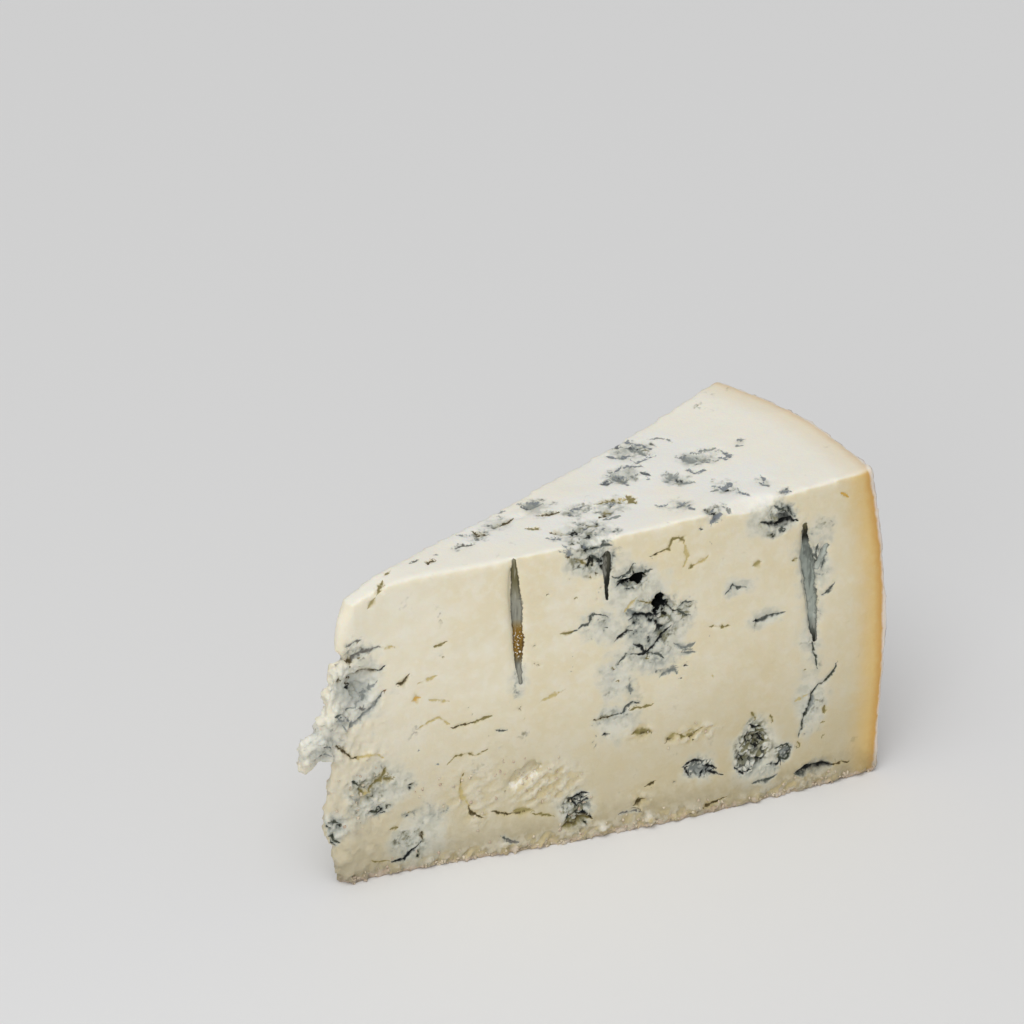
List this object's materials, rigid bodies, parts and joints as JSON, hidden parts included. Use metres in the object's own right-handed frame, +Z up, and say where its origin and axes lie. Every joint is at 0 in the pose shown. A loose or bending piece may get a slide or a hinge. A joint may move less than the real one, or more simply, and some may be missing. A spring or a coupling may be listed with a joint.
{
  "type": "gorgonzola wedge",
  "caption": "Wedge of soft blue cheese from a halved wheel: crumbly blunt point, veined cut faces with needle channels, dished cut top and an ochre rind along the curved side.",
  "frame": {"origin": "middle of the footprint, on the surface that the wedge lies on", "axes": "+X from the point towards the rind, +Z up, the front cut face on the -Y side"},
  "size_m": [0.169, 0.0708, 0.0938],
  "materials": {
    "paste": "ivory cheese paste with blue-grey mould veins and an ochre rind, soft waxy sheen"
  },
  "bodies": {
    "root": {"cheese_wedge": "paste"}
  },
  "joints": []
}
